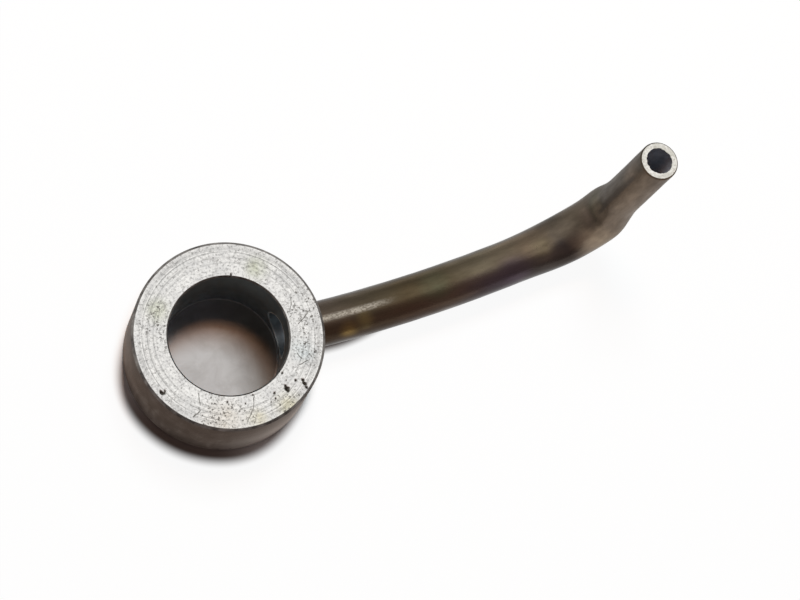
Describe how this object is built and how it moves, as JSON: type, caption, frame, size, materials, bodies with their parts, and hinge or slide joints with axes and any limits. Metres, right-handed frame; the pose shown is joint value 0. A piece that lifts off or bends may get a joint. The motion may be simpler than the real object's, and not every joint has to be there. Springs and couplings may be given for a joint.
{
  "type": "piston cooling nozzle",
  "caption": "Banjo ring with a plain bore for a hollow bolt and a bent, necked steel tube brazed into its wall, turned up at the end to spray oil under a piston.",
  "frame": {"origin": "centre of the ring's lower seal face, on the bore's axis", "axes": "+Z along the bore's axis towards the upper seal face and the side that the jet points to; +X along the tube where it leaves the ring; the tube's sweep curves towards +Y"},
  "size_m": [0.0568, 0.02, 0.0235],
  "materials": {
    "turned_steel": "turned, satin, finely pitted",
    "heat_tinted_steel": "drawn tube, brown heat tint, satin",
    "braze_metal": "dull, flowed"
  },
  "bodies": {
    "root": {"banjo_ring": "turned_steel", "jet_tube": "heat_tinted_steel", "braze_fillet": "braze_metal"}
  },
  "joints": []
}
